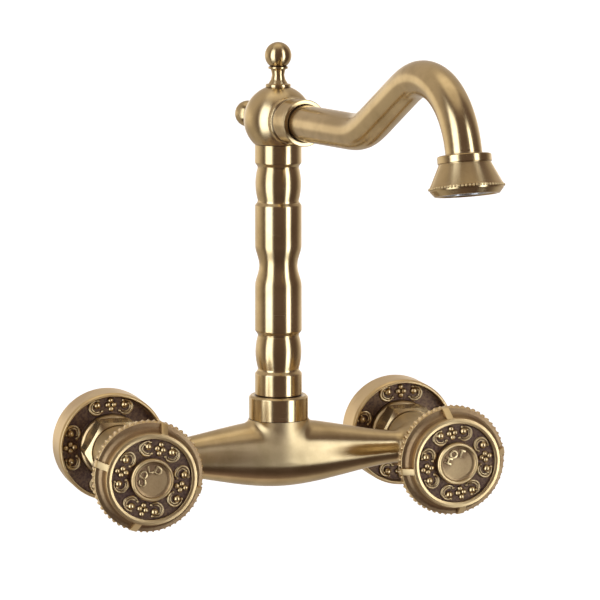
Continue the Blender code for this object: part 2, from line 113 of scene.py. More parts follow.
def brass(name, light=(0.67, 0.505, 0.265), mid=(0.51, 0.37, 0.18), patina=(0.085, 0.038, 0.036), deep=(0.066, 0.033, 0.037),
          rough=0.25, brush=(0.05, 3.2), ao=0.0016, bump=0.03, grain=0.5, aniso=0.85):
    """Antiqued brushed brass.  UV is in millimetres: u along the brushing, v across it."""
    m = bpy.data.materials.new(name)
    m.use_nodes = True
    nt = m.node_tree
    nt.nodes.clear()
    L = nt.links.new
    out = nt.nodes.new("ShaderNodeOutputMaterial")
    bs = nt.nodes.new("ShaderNodeBsdfPrincipled")
    L(bs.outputs[0], out.inputs[0])
    bs.inputs["Metallic"].default_value = 1.0
    tc = nt.nodes.new("ShaderNodeTexCoord")
    mp = nt.nodes.new("ShaderNodeMapping")
    mp.inputs["Scale"].default_value = (brush[0], brush[1], 1.0)
    L(tc.outputs["UV"], mp.inputs["Vector"])
    fine = node(nt, "ShaderNodeTexNoise", i_Scale=1.0, i_Detail=4.0, i_Roughness=0.65)
    L(mp.outputs[0], fine.inputs["Vector"])
    cloud = node(nt, "ShaderNodeTexNoise", i_Scale=62.0, i_Detail=5.0, i_Roughness=0.58)
    L(tc.outputs["Object"], cloud.inputs["Vector"])
    speck = node(nt, "ShaderNodeTexNoise", i_Scale=900.0, i_Detail=2.0, i_Roughness=0.5)
    L(tc.outputs["Object"], speck.inputs["Vector"])
    tone = math_node(nt, "ADD", maprange(nt, cloud.outputs["Fac"], 0.35, 0.68, 0.0, 0.8, True),
                     maprange(nt, fine.outputs["Fac"], 0.3, 0.7, -0.12 * grain, 0.12 * grain))
    base = mix_rgb(nt, tone, light, mid)
    # ambient occlusion darkens creases, hollows and surfaces near other parts: partly the patina of the hollows,
    # partly painted shade
    aon = node(nt, "ShaderNodeAmbientOcclusion", samples=6, only_local=False, i_Distance=ao)
    crevice_patina_and_shade = maprange(nt, aon.outputs["AO"], 0.35, 0.9, 0.9, 0.0, True)
    att = node(nt, "ShaderNodeAttribute", attribute_name="patina")
    attv = math_node(nt, "MULTIPLY", att.outputs["Fac"], maprange(nt, cloud.outputs["Fac"], 0.3, 0.7, 0.93, 1.0))
    # painted crevice shade joins the patina attribute here
    patina_and_shade = math_node(nt, "MAXIMUM", crevice_patina_and_shade, attv)
    patina_and_shade = math_node(nt, "MULTIPLY", patina_and_shade, maprange(nt, speck.outputs["Fac"], 0.25, 0.6, 1.0, 0.86))
    # tarnish and painted crevice shade share these colours: thin is brown, the full depth of it nearly black
    tarnish_and_shade = mix_rgb(nt, maprange(nt, patina_and_shade, 0.72, 0.90, 0.0, 1.0, True), patina, deep)
    L(mix_rgb(nt, patina_and_shade, base, tarnish_and_shade), bs.inputs["Base Color"])
    r = math_node(nt, "ADD", maprange(nt, fine.outputs["Fac"], 0.3, 0.7, rough - 0.04 * grain, rough + 0.05 * grain),
                  math_node(nt, "MULTIPLY", patina_and_shade, 0.25))
    L(r, bs.inputs["Roughness"])
    if aniso:
        tg = node(nt, "ShaderNodeTangent", direction_type="UV_MAP", uv_map="UVMap")
        L(tg.outputs[0], bs.inputs["Tangent"])
        bs.inputs["Anisotropic"].default_value = aniso
        bs.inputs["Anisotropic Rotation"].default_value = 0.25
    h = math_node(nt, "ADD", math_node(nt, "MULTIPLY", fine.outputs["Fac"], grain),
                  math_node(nt, "MULTIPLY", speck.outputs["Fac"], 0.35 * min(1.0, grain)))
    bp = node(nt, "ShaderNodeBump", i_Strength=bump, i_Distance=0.00006)
    L(h, bp.inputs["Height"])
    L(bp.outputs[0], bs.inputs["Normal"])
    return m


def plain(name, colour, metallic, rough, scale, dark=0.8, bump=0.1):
    m = bpy.data.materials.new(name)
    m.use_nodes = True
    nt = m.node_tree
    L = nt.links.new
    bs = nt.nodes["Principled BSDF"]
    tc = nt.nodes.new("ShaderNodeTexCoord")
    n = node(nt, "ShaderNodeTexNoise", i_Scale=scale, i_Detail=4.0)
    L(tc.outputs["Object"], n.inputs["Vector"])
    deep = tuple(c * dark for c in colour)
    L(mix_rgb(nt, maprange(nt, n.outputs["Fac"], 0.35, 0.65, 0.0, 1.0, True), colour, deep), bs.inputs["Base Color"])
    bs.inputs["Metallic"].default_value = metallic
    L(maprange(nt, n.outputs["Fac"], 0.3, 0.7, rough - 0.05, rough + 0.08), bs.inputs["Roughness"])
    bp = node(nt, "ShaderNodeBump", i_Strength=bump, i_Distance=0.00005)
    L(n.outputs["Fac"], bp.inputs["Height"])
    L(bp.outputs[0], bs.inputs["Normal"])
    return m


BRASS = brass("antique_brass_turned")
BRASS_TUBE = brass("antique_brass_tube", brush=(0.05, 2.5), rough=0.215, grain=0.15, bump=0.010, aniso=0.4)
BRASS_BODY = brass("antique_brass_body", brush=(0.05, 2.6), rough=0.29, grain=0.35, aniso=0.88)
BRASS_FACE = brass("antique_brass_face", light=(0.76, 0.56, 0.275), mid=(0.62, 0.43, 0.20), patina=(0.125, 0.052, 0.032), rough=0.35, grain=0.4, aniso=0.0, bump=0.03)
BRASS_RIB = brass("antique_brass_rib", light=(0.76, 0.58, 0.30), mid=(0.64, 0.46, 0.22), rough=0.36, brush=(0.8, 0.8), grain=0.3,
                  aniso=0.0, bump=0.03)
BRASS_RELIEF = brass("antique_brass_relief", light=(0.78, 0.59, 0.30), mid=(0.64, 0.46, 0.22), rough=0.29,
                     brush=(0.8, 0.8), ao=0.0010, bump=0.03, grain=0.3, aniso=0.0)
RAW = brass("machined_brass", light=(0.80, 0.62, 0.26), mid=(0.70, 0.52, 0.20), rough=0.3, ao=0.0012, aniso=0.6)
STEEL = plain("stainless_steel", (0.62, 0.61, 0.59), 1.0, 0.28, 900.0)
RUBBER = plain("black_rubber", (0.022, 0.022, 0.022), 0.0, 0.62, 1500.0, 0.7, 0.2)
CERAMIC = plain("white_ceramic", (0.86, 0.85, 0.82), 0.0, 0.22, 400.0, 0.95, 0.03)
PLASTIC = plain("grey_acetal", (0.33, 0.33, 0.34), 0.0, 0.42, 800.0, 0.85, 0.1)


# --------------------------------------------------------------- mesh tools
def place(name, mesh, matrix, mat, body, nodes=(), sharp=32):
    ob = bpy.data.objects.new(name, mesh)
    scene.collection.objects.link(ob)
    mesh.materials.append(mat)
    mesh.transform(matrix)
    mesh.shade_smooth()
    if sharp:
        mesh.set_sharp_from_angle(angle=math.radians(sharp))
    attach(ob, body)
    if nodes:
        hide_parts(*nodes)
    return ob


def rounded(pts, closed, f0=0.3):
    """Round the corners of a (r, h[, radius]) profile, with a support point beside each arc."""
    out = []
    n = len(pts)
    for i, p in enumerate(pts):
        f = p[2] if len(p) > 2 else f0
        q = Vector((p[0], p[1]))
        if (not closed and i in (0, n - 1)) or f <= 0:
            out.append((q.x, q.y))
            continue
        a = Vector(pts[i - 1][:2]) - q
        b = Vector(pts[(i + 1) % n][:2]) - q
        la, lb = a.length, b.length
        a.normalize()
        b.normalize()
        ang = math.acos(max(-1, min(1, a.dot(b))))
        if ang > math.radians(172):
            out.append((q.x, q.y))
            continue
        t = min(f / math.tan(ang / 2), 0.45 * la, 0.45 * lb)
        f = t * math.tan(ang / 2)
        c = q + (a + b).normalized() * (f / math.sin(ang / 2))
        k = max(2, math.ceil((math.pi - ang) / math.radians(17)))
        s0, s1 = q + a * t, q + b * t
        v0, v1 = s0 - c, s1 - c
        turn = math.atan2(v0.x * v1.y - v0.y * v1.x, v0.dot(v1))
        sup = min(0.22, 0.1 * la)
        out.append(tuple(s0 + a * sup))
        for j in range(k + 1):
            w = turn * j / k
            v = Vector((v0.x * math.cos(w) - v0.y * math.sin(w), v0.x * math.sin(w) + v0.y * math.cos(w)))
            out.append(tuple(c + v))
        out.append(tuple(s1 + b * min(0.22, 0.1 * lb)))
    return out


def lathe_mesh(name, prof, seg, closed, mod=None, patina=None, ang0=0.0):
    """Turned surface about local Z; mod(r, h, angle) -> r for milled or hexagonal work."""
    prof = [p for i, p in enumerate(prof) if i == 0 or (Vector(p) - Vector(prof[i - 1])).length > 1e-4]
    s = [0.0]
    for i in range(1, len(prof)):
        s.append(s[-1] + (Vector(prof[i]) - Vector(prof[i - 1])).length)
    me = bpy.data.meshes.new(name)
    bm = bmesh.new()
    uvl = bm.loops.layers.uv.new("UVMap")
    rings, pats = [], {}
    rmax = max(p[0] for p in prof)
    for r, h in prof:
        if r < 1e-3:
            v = bm.verts.new((0, 0, h * MM))
            pats[v] = patina(0.0, h) if patina else 0.0
            rings.append([v] * seg)
            continue
        ring = []
        for j in range(seg):
            t = ang0 + math.tau * j / seg
            rr, hh = (r, h)
            if mod:
                rr, hh = mod(r, h, t)
            v = bm.verts.new((rr * math.cos(t) * MM, rr * math.sin(t) * MM, hh * MM))
            pats[v] = patina(r, h) if patina else 0.0
            ring.append(v)
        rings.append(ring)
    m = len(rings)
    for i in range(m if closed else m - 1):
        A, B = rings[i], rings[(i + 1) % m]
        sa = s[i]
        sb = s[(i + 1) % m] if i + 1 < m else s[i] + 1.0
        for j in range(seg):
            k = (j + 1) % seg
            vs = [A[j], B[j], B[k], A[k]]
            uv = [(j, sa), (j, sb), (j + 1, sb), (j + 1, sa)]
            vv, uu = [], []
            for v, w in zip(vs, uv):
                if v not in vv:
                    vv.append(v)
                    uu.append(w)
            if len(vv) < 3:
                continue
            f = bm.faces.new(vv)
            for lp, w in zip(f.loops, uu):
                lp[uvl].uv = (w[0] / seg * math.tau * rmax, w[1])
    bmesh.ops.recalc_face_normals(bm, faces=bm.faces)
    order = list(bm.verts)
    vals = [float(pats.get(v, 0.0)) for v in order]
    bm.to_mesh(me)
    bm.free()
    at = me.attributes.new("patina", "FLOAT", "POINT")
    at.data.foreach_set("value", vals)
    return me


def lathe(name, prof, matrix, mat, body, nodes=(), closed=True, seg=112, f0=0.3, mod=None, patina=None, sharp=32,
          ang0=0.0):
    me = lathe_mesh(name, rounded(prof, closed, f0), seg, closed, mod, patina, ang0)
    return place(name, me, matrix, mat, body, nodes, sharp)


def sweep(bm, pts, radii, sides=16, cap=True, uvl=None, ups=None):
    """Tube along a list of Vectors, ends closed by small caps."""
    n = len(pts)
    rings = []
    prev = ups or Vector((0, 0, 1))
    for i, p in enumerate(pts):
        t = (pts[min(i + 1, n - 1)] - pts[max(i - 1, 0)]).normalized()
        nx = (prev - t * prev.dot(t)).normalized()
        ny = t.cross(nx)
        prev = nx
        rings.append([bm.verts.new(p + (nx * math.cos(a) + ny * math.sin(a)) * radii[i])
                      for a in [math.tau * k / sides for k in range(sides)]])
    acc = 0.0
    for i in range(n - 1):
        d = (pts[i + 1] - pts[i]).length / MM
        for k in range(sides):
            q = (k + 1) % sides
            f = bm.faces.new([rings[i][k], rings[i][q], rings[i + 1][q], rings[i + 1][k]])
            if uvl is not None:
                w = math.tau * radii[i] / MM / sides
                for lp, uv in zip(f.loops, [(acc, k * w), (acc, (k + 1) * w), (acc + d, (k + 1) * w), (acc + d, k * w)]):
                    lp[uvl].uv = (uv[1], uv[0])
        acc += d
    if cap:
        bm.faces.new(rings[0][::-1])
        bm.faces.new(rings[-1])
    return rings


def finish_bm(name, bm, patina=None):
    bmesh.ops.recalc_face_normals(bm, faces=bm.faces)
    me = bpy.data.meshes.new(name)
    bm.to_mesh(me)
    bm.free()
    at = me.attributes.new("patina", "FLOAT", "POINT")
    at.data.foreach_set("value", [float(patina(v.co)) if patina else 0.0 for v in me.vertices])
    return me


def add_bead(bm, x, y, z, rx, rz, seg=16, rings=7):
    """Half-round bead standing on height z, sunk a little below it."""
    lv = []
    for i in range(rings + 1):
        a = math.radians(-14 + 104 * i / rings)
        if i == rings:
            lv.append([bm.verts.new((x, y, z + rz))])
        else:
            lv.append([bm.verts.new((x + rx * math.cos(a) * math.cos(t), y + rx * math.cos(a) * math.sin(t),
                                     z + rz * math.sin(a))) for t in [math.tau * k / seg for k in range(seg)]])
    for i in range(rings):
        for k in range(seg):
            q = (k + 1) % seg
            if i == rings - 1:
                bm.faces.new([lv[i][k], lv[i][q], lv[i + 1][0]])
            else:
                bm.faces.new([lv[i][k], lv[i][q], lv[i + 1][q], lv[i + 1][k]])
    bm.faces.new(lv[0][::-1])


def border(name, matrix, body, floor, r_mid, k, turn=0.0, spread=6.5):
    """Cast border: four groups, each a four-bead clover between two beads nested in C-scrolls."""
    bm = bmesh.new()
    z0 = floor * MM
    for g in range(4):
        ga = math.radians(turn + 90 * g)

        def at(dr, da):
            """Point at radius r_mid + dr and arc distance da (mm) from the group's middle."""
            rr, aa = r_mid + dr, ga + da / r_mid
            return rr * math.cos(aa) * MM, rr * math.sin(aa) * MM
        for dr, da in ((2.2, 0.1), (-2.05, -0.1), (0.05, 1.5), (0.05, -1.5)):
            x, y = at(dr * k, da * k)
            add_bead(bm, x, y, z0, 1.42 * k * MM, 1.45 * k * MM)
        for side in (-1, 1):
            cx = spread * side
            x, y = at(0.95 * k, cx - 0.75 * k * side)
            add_bead(bm, x, y, z0, 1.78 * k * MM, 1.85 * k * MM, 20, 8)
            # the C's flat web, then its outer and inner ridges
            n = 30
            strips = []
            for i in range(n + 1):
                a = math.radians(-128 + (118 + 128) * i / n)
                edge = min(1.0, min(i, n - i) / 5)
                row = []
                for rr, zz in ((2.0, 0.0), (2.1, 0.5), (3.4, 0.5), (3.6, 0.0)):
                    rr = 2.75 + (rr - 2.75) * (0.3 + 0.7 * edge)
                    px, py = at(rr * k * math.sin(a), cx + side * rr * k * math.cos(a))
                    row.append(bm.verts.new((px, py, z0 + (zz * edge - 0.15) * k * MM)))
                strips.append(row)
            for i in range(n):
                for q in range(3):
                    bm.faces.new([strips[i][q], strips[i + 1][q], strips[i + 1][q + 1], strips[i][q + 1]])
            for (rr, a0, a1, w, lift) in ((3.35, -132, 122, 0.66, 0.2), (2.2, -112, 70, 0.47, 0.25)):
                pts, rad = [], []
                for i in range(n + 1):
                    f = i / n
                    a = math.radians(a0 + (a1 - a0) * f)
                    edge = min(1.0, min(f, 1 - f) * 4)
                    px, py = at(rr * k * math.sin(a), cx + side * rr * k * math.cos(a))
                    pts.append(Vector((px, py, z0 + lift * MM * k)))
                    rad.append(w * (0.5 + 0.5 * edge) * k * MM)
                sweep(bm, pts, rad, 10)
                ends = (pts[0], pts[-1]) if rr > 3 else (pts[-1],)
                for p in ends:
                    add_bead(bm, p.x, p.y, z0, 0.82 * k * MM, 0.95 * k * MM, 12, 5)
    top = 1.0 * k * MM
    me = finish_bm(name, bm, lambda c: max(0.0, min(1.0, 1.0 - (c.z - z0) / (1.15 * top))) ** 1.1 * 0.97)
    return place(name, me, matrix, BRASS_RELIEF, body, sharp=60)


# --------------------------------------------------------------- valves
def hexed(flats, back, front):
    cr = flats / 2 - 0.9

    def mod(r, h, t):
        if r < flats / 2 - 2.0:
            return r, h
        ph = t % (math.pi / 3) - math.pi / 6
        ph = max(-math.radians(28.6), min(math.radians(28.6), ph))
        rr = flats / 2 / math.cos(ph)
        if r < flats / 2:            # crown circle
            return r, h
        if h > front - 4:
            return rr, front - 0.25 - max(0.0, rr - cr) * 0.62
        if h < back + 1.5:
            return rr, back + 0.15 + max(0.0, rr - cr) * 0.3
        return rr, h
    return mod


def valve(side):
    x = X[side]
    F = out_of_wall(x)
    H = side + "_handle"
    turn = F @ Matrix.Rotation(math.radians(TURN[side]), 4, "Z")

    # wall rose
    lathe(side + "_rose", [
        (26.15, 17.4, 0.5), (26.95, 15.8, 1.2), (27.0, 0.0, 0.3), (25.4, 0.0, 0.2), (25.4, 9.0, 1.0),
        (23.8, 10.8, 1.0), (13.4, 10.8, 0.2), (13.4, 16.4, 0.2), (14.7, 16.4, 0.6), (15.8, 15.6, 0.8),
        (16.2, 12.6, 0.35), (25.0, 12.6, 0.35), (25.35, 17.4, 0.25)],
        F, BRASS_FACE, "fixed_body", [side + "_escutcheon"], seg=160,
        patina=lambda r, h: 1.0 if (15.9 < r < 25.05 and 12.0 < h < 13.6) else (0.25 if h > 10 and 14 < r < 16.2 else 0.0))
    border(side + "_rose_border", F, "fixed_body", 12.6, 20.6, 1.04, 0.0, 7.4)
    # union nut
    flats = 29.0
    lathe(side + "_nut", [
        (10.5, 30.6, 0.2), (12.2, 30.6, 0), (12.9, 30.6, 0), (13.6, 30.6, 0), (14.5, 28.8, 0), (14.5, 27.9, 0),
        (14.5, 24.0, 0), (14.5, 19.0, 0), (14.5, 18.2, 0), (14.5, 17.4, 0), (13.9, 17.0, 0), (13.2, 17.0, 0),
        (13.2, 28.6, 0), (10.5, 28.6, 0)],
        F, BRASS, "fixed_body", [side + "_union_nut"], seg=180, mod=hexed(flats, 17.0, 30.6), sharp=24)
    # wall union, threads as ridges
    def thread(r0, r1, h0, h1, pitch):
        n = int((h0 - h1) / pitch)
        out = []
        for i in range(n):
            h = h0 - i * pitch
            out += [(r1, h, 0.08), (r0, h - pitch * 0.25, 0.06), (r0, h - pitch * 0.4, 0.06), (r1, h - pitch * 0.75, 0.08)]
        return out
    lathe(side + "_union", [(11.9, 24.4)] + thread(12.9, 11.9, 24.0, 15.2, 1.81) + [(12.9, 13.6), (12.9, 4.0), (10.0, 4.0), (9.4, 2.9)]
          + thread(10.35, 9.4, 2.6, -16.4, 1.81) + [(9.5, -17.4), (8.9, -18.0), (7.0, -18.0), (7.0, 24.4)],
          F, RAW, "fixed_body", [side + "_wall_union"], seg=64, f0=0.15)
    # bonnet sleeve
    lathe(side + "_sleeve", [
        (14.3, 83.6, 0.4), (15.2, 82.8, 0.6), (15.2, 80.6, 0.8), (14.2, 79.0, 1.5), (13.9, 72.6, 1.0), (14.6, 71.6, 0.5),
        (14.6, 70.3, 0.2), (12.8, 70.3, 0.2), (12.8, 83.6, 0.2)],
        F, BRASS, "fixed_body", [side + "_bonnet_sleeve"], seg=96)

    # handle wheel
    teeth = 58
    seg = teeth * 8

    def mill(r, h, t):
        if r < 25.9 or not 91.0 < h < 95.5:
            return r, h
        ph = (t * teeth / math.tau) % 1.0
        w = 0.5 + 0.5 * math.cos(math.tau * ph)
        w = w ** 1.2
        k = min(1.0, (r - 25.9) / 0.7)
        return r - 1.2 * k * (1 - w), h

    prof = [
        (6.2, 101.2, 0.1), (19.05, 101.2, 0.3), (19.2, 102.68, 0.22), (20.4, 102.85, 0.9), (21.75, 102.72, 0.3),
        (21.95, 101.0, 0.4), (22.05, 99.4, 0.6), (22.7, 97.2, 1.6), (24.2, 96.15, 1.6), (25.9, 95.85, 0.25),
        (26.3, 95.2, 0.25), (26.85, 94.7, 0.25), (26.85, 91.9, 0.35), (26.0, 91.0, 0.4),
        (25.2, 90.3, 0.5), (23.8, 89.5, 1.0), (19.0, 86.4, 1.5), (17.4, 84.6, 0.8), (16.0, 84.6, 0.3),
        (16.6, 86.6, 0.8), (21.4, 91.8, 1.5), (20.4, 96.6, 1.0), (19.0, 98.4, 1.0), (9.0, 98.4, 0.8), (7.6, 97.0, 0.6),
        (7.6, 84.4, 0.2), (3.3, 84.4, 0.2), (3.3, 94.4, 0.1), (2.3, 94.4, 0.1), (2.3, 96.3, 0.1), (6.2, 96.3, 0.2)]

    def wheel_patina(r, h):
        if r < 19.15 and h > 100.6:
            return 1.0
        if 21.9 < r < 25.8 and 95.5 < h < 100.2:
            return 0.70
        return 0.0
    lathe(side + "_wheel", prof, turn, BRASS_FACE, H, [side + "_handle_wheel"], seg=seg, mod=mill, patina=wheel_patina, sharp=45)
    border(side + "_wheel_border", turn, H, 101.2, 14.75, 1.0, 0.0, 6.35)
    # ribs across the groove
    bm = bmesh.new()
    for g in range(4):
        R = Matrix.Rotation(g * math.pi / 2, 4, "Z")
        w = 1.6
        sec = [(20.9, 102.45), (21.9, 102.3), (26.0, 97.2), (26.5, 96.0), (26.5, 92.4), (24.9, 91.8), (21.9, 95.6), (20.9, 99.5)]
        va, vb = [], []
        for r, h in sec:
            va.append(bm.verts.new(R @ Vector((r * MM, -w * MM, h * MM))))
            vb.append(bm.verts.new(R @ Vector((r * MM, w * MM, h * MM))))
        bm.faces.new(va)
        bm.faces.new(vb[::-1])
        n = len(sec)
        for i in range(n):
            j = (i + 1) % n
            bm.faces.new([va[j], va[i], vb[i], vb[j]])
    bmesh.ops.recalc_face_normals(bm, faces=bm.faces)
    bmesh.ops.bevel(bm, geom=[e for e in bm.edges], offset=0.22 * MM, segments=2, affect="EDGES", profile=0.6)
    place(side + "_wheel_ribs", finish_bm(side + "_wheel_ribs", bm), turn, BRASS_RIB, H, sharp=40)
    # index button: dished disc
    button = lathe(side + "_button", [
        (0.0, 103.15), (1.5, 103.155), (2.6, 103.165), (3.6, 103.18), (4.6, 103.2), (5.6, 103.215), (6.4, 103.23), (7.2, 103.25, 0.6), (8.3, 103.6, 0.5), (8.75, 104.35, 0.3), (9.7, 104.4, 0.35),
        (10.2, 103.9, 0.4), (10.2, 101.5, 0.2), (5.9, 101.5, 0.2), (5.9, 98.9, 0.2), (0.0, 98.9)],
        turn, BRASS_FACE, H, [side + "_index_button"], closed=False, seg=128,
        patina=lambda r, h: 0.6 if 7.3 < r < 8.6 and 103.1 < h < 103.9 else (0.52 if r <= 7.4 and h > 103 else 0.0))
    # plain block capitals on an arc
    word = "COLD" if side == "cold" else "HOT"
    mid = (126 if side == "cold" else 116) - TURN[side]
    step = 46.0
    # heavier tarnish is left in the dish around the letters
    back = turn.inverted()
    at = button.data.attributes["patina"]
    for v in button.data.vertices:
        p = back @ v.co
        r = math.hypot(p.x, p.y) / MM
        if r > 8.0 or p.z < 0.1031 or p.z > 0.1036:
            continue
        off = (math.degrees(math.atan2(p.y, p.x)) - mid + 180.0) % 360.0 - 180.0
        near = max(0.0, 1.0 - max(0.0, abs(off) - 62.0) / 45.0) * max(0.0, min(1.0, (r - 1.8) / 1.8))
        value = at.data[v.index].value
        at.data[v.index].value = value + (0.86 - value) * near * near * (3 - 2 * near)
    bm = bmesh.new()
    for i, ch in enumerate(word):
        a = mid - (i - (len(word) - 1) / 2) * step
        cu = bpy.data.curves.new("glyph", "FONT")
        cu.body = ch
        cu.size = 5.2 * MM
        cu.align_x = "CENTER"
        cu.align_y = "CENTER"
        cu.extrude = 0.36 * MM
        cu.bevel_depth = 0.12 * MM
        cu.bevel_resolution = 2
        cu.offset = 0.08 * MM
        ob = bpy.data.objects.new("glyph", cu)
        scene.collection.objects.link(ob)
        bpy.context.view_layer.update()
        me = bpy.data.meshes.new_from_object(ob.evaluated_get(bpy.context.evaluated_depsgraph_get()))
        ar = math.radians(a)
        me.transform(Matrix.Translation((4.85 * math.cos(ar) * MM, 4.85 * math.sin(ar) * MM, 103.3 * MM))
                     @ Matrix.Rotation(ar - math.pi / 2, 4, "Z"))
        bm.from_mesh(me)
        bpy.data.objects.remove(ob, do_unlink=True)
        bpy.data.meshes.remove(me)
        bpy.data.curves.remove(cu)
    bmesh.ops.remove_doubles(bm, verts=bm.verts, dist=0.000002)
    place(side + "_button_mark", finish_bm(side + "_button_mark", bm, lambda c: 0.92 if c.z < 0.10371 else 0.0),
          turn, BRASS_RELIEF, H, sharp=40)


valve("cold")
valve("hot")


# --------------------------------------------------------------- mixer body
def smin(a, b, k):
    h = np.clip(0.5 + 0.5 * (b - a) / k, 0, 1)
    return b * (1 - h) + a * h - k * h * (1 - h)


KX = np.array([0, 10, 20, 32, 44, 54, 60, 64, 68, 76.0])
KR = np.array([16.6, 16.05, 14.7, 12.4, 10.0, 8.35, 7.85, 7.8, 7.8, 7.8])
GX = np.linspace(0, 76, 400)


def smooth_table():
    r = np.interp(GX, KX, KR)
    g = np.exp(-0.5 * (np.arange(-60, 61) * (GX[1] - GX[0]) / 3.0) ** 2)
    g /= g.sum()
    ext = np.concatenate([r[60:0:-1], r, np.full(60, r[-1])])
    return np.convolve(ext, g, "valid")


GR = smooth_table()
GD = np.gradient(GR, GX)


def field(P):
    """Smooth union of spindle, valve barrels and column boss, in mm about the body's centre."""
    x, y, z = P[:, 0], P[:, 1], P[:, 2]
    ax = np.abs(x)
    rr = np.interp(ax, GX, GR)
    dd = np.interp(ax, GX, GD)
    spindle = (np.hypot(y, z) - rr) / np.sqrt(1 + dd * dd)
    spindle = np.maximum(spindle, ax - 74.0)
    barrel = np.hypot(ax - 75.0, z) - 13.0
    barrel = np.maximum(barrel, np.abs(y) - 24.0)
    boss = np.hypot(x, y) - 14.4
    boss = np.maximum(boss, np.maximum(-z, z - 21.0))
    f = smin(spindle, barrel, 5.0)
    return smin(f, boss, 3.2)


def body_mesh():
    bm = bmesh.new()
    for s in (-1, 1):
        bmesh.ops.create_cone(bm, cap_ends=True, segments=48, radius1=13 * MM, radius2=13 * MM, depth=44 * MM,
                              matrix=Matrix.Translation((s * 75 * MM, 0, 0)) @ Matrix.Rotation(math.pi / 2, 4, "X"))
    tmp = bpy.data.meshes.new("body_cage")
    prof = [(0.0, 72.0)] + [(float(np.interp(t, GX, GR)), t) for t in np.linspace(72, 0, 37)] \
        + [(float(np.interp(t, GX, GR)), -t) for t in np.linspace(2, 72, 36)] + [(0.0, -72.0)]
    lm = lathe_mesh("cage", prof, 64, False)
    lm.transform(Matrix.Rotation(math.pi / 2, 4, "Y"))
    bm.from_mesh(lm)
    bmesh.ops.create_cone(bm, cap_ends=True, segments=64, radius1=14.4 * MM, radius2=14.4 * MM, depth=19 * MM,
                          matrix=Matrix.Translation((0, 0, 10.5 * MM)))
    bm.to_mesh(tmp)
    bm.free()
    ob = bpy.data.objects.new("body_cage", tmp)
    scene.collection.objects.link(ob)
    m = ob.modifiers.new("r", "REMESH")
    m.mode = "VOXEL"
    m.voxel_size = 0.00072
    m.use_smooth_shade = True
    bpy.context.view_layer.update()
    me = bpy.data.meshes.new_from_object(ob.evaluated_get(bpy.context.evaluated_depsgraph_get()))
    bpy.data.objects.remove(ob, do_unlink=True)
    n = len(me.vertices)
    P = np.empty(n * 3)
    me.vertices.foreach_get("co", P)
    P = P.reshape(-1, 3) / MM
    edges = np.empty(len(me.edges) * 2, dtype=np.int64)
    me.edges.foreach_get("vertices", edges)
    edges = edges.reshape(-1, 2)
    deg = np.bincount(edges.ravel(), minlength=n).astype(float)

    def project(P, it):
        for _ in range(it):
            f = field(P)
            e = 0.02
            g = np.stack([field(P + d) - field(P - d) for d in np.eye(3) * e], 1) / (2 * e)
            P = P - (f / np.maximum((g * g).sum(1), 0.2))[:, None] * g
        return P
    P = project(P, 4)
    for _ in range(8):
        S = np.zeros_like(P)
        np.add.at(S, edges[:, 0], P[edges[:, 1]])
        np.add.at(S, edges[:, 1], P[edges[:, 0]])
        P = 0.5 * P + 0.5 * S / deg[:, None]
        P = project(P, 1)
    P = project(P, 4)
    me.vertices.foreach_set("co", (P * MM).ravel())
    me.update()
    bm = bmesh.new()
    bm.from_mesh(me)
    # true flat ends: barrel fronts and backs, boss top
    for co, no in (((0, -18.0, 0), (0, -1, 0)), ((0, 20.8, 0), (0, 1, 0)), ((0, 0, 17.0), (0, 0, 1))):
        geom = list(bm.verts) + list(bm.edges) + list(bm.faces)
        res = bmesh.ops.bisect_plane(bm, geom=geom, plane_co=Vector(co) * MM, plane_no=Vector(no), clear_outer=True,
                                     clear_inner=False, dist=1e-7)
        rim = [g for g in res["geom_cut"] if isinstance(g, bmesh.types.BMEdge)]
        bmesh.ops.holes_fill(bm, edges=rim, sides=0)
    uvl = bm.loops.layers.uv.new("UVMap")
    for f in bm.faces:
        c = f.calc_center_median() / MM
        barrelish = abs(abs(c.x) - 75) < 13.5
        for lp in f.loops:
            v = lp.vert.co / MM
            if barrelish:
                lp[uvl].uv = (math.atan2(v.z, abs(v.x) - 75) * 13, v.y)
            else:
                lp[uvl].uv = (math.atan2(v.z, v.y) * 15, v.x)
    me2 = finish_bm("mixer_body_shell", bm)
    bpy.data.meshes.remove(me)
    return me2


place("mixer_body_shell", body_mesh(), COLUMN, BRASS_BODY, "fixed_body", ["mixer_body"], sharp=40)

# inlet tails behind the union nuts
for side in ("cold", "hot"):
    lathe(side + "_inlet_tail", [(10.1, 32.0), (10.1, 28.3, 0.2), (12.8, 28.3, 0.2), (12.8, 26.6, 0.2), (7.0, 26.6, 0.2), (7.0, 32.0)],
          out_of_wall(X[side]), RAW, "fixed_body", seg=64, f0=0.1)

# --------------------------------------------------------------- riser
lathe("riser_foot", [
    (13.5, 28.65, 0.35), (14.4, 27.75, 0.35), (14.4, 17.15, 0.15), (10.4, 17.15, 0.1), (10.4, 8.0, 0.2), (8.3, 8.0, 0.2), (8.3, 28.65, 0.3)],
    COLUMN, BRASS, "fixed_body", ["riser_collar"], seg=128)


def bulge(z0, z1, r0, r1, n=14):
    return [(r0 + (r1 - r0) * math.sin(math.pi * (i / n)) ** 0.8, z0 + (z1 - z0) * i / n, 0) for i in range(n + 1)]


def waist(z0, z1, r0, r1, n=22):
    out = []
    for i in range(n + 1):
        f = i / n
        out.append((r0 + (r1 - r0) * (0.5 - 0.5 * math.cos(math.tau * f)) ** 0.85, z0 + (z1 - z0) * f, 0))
    return out


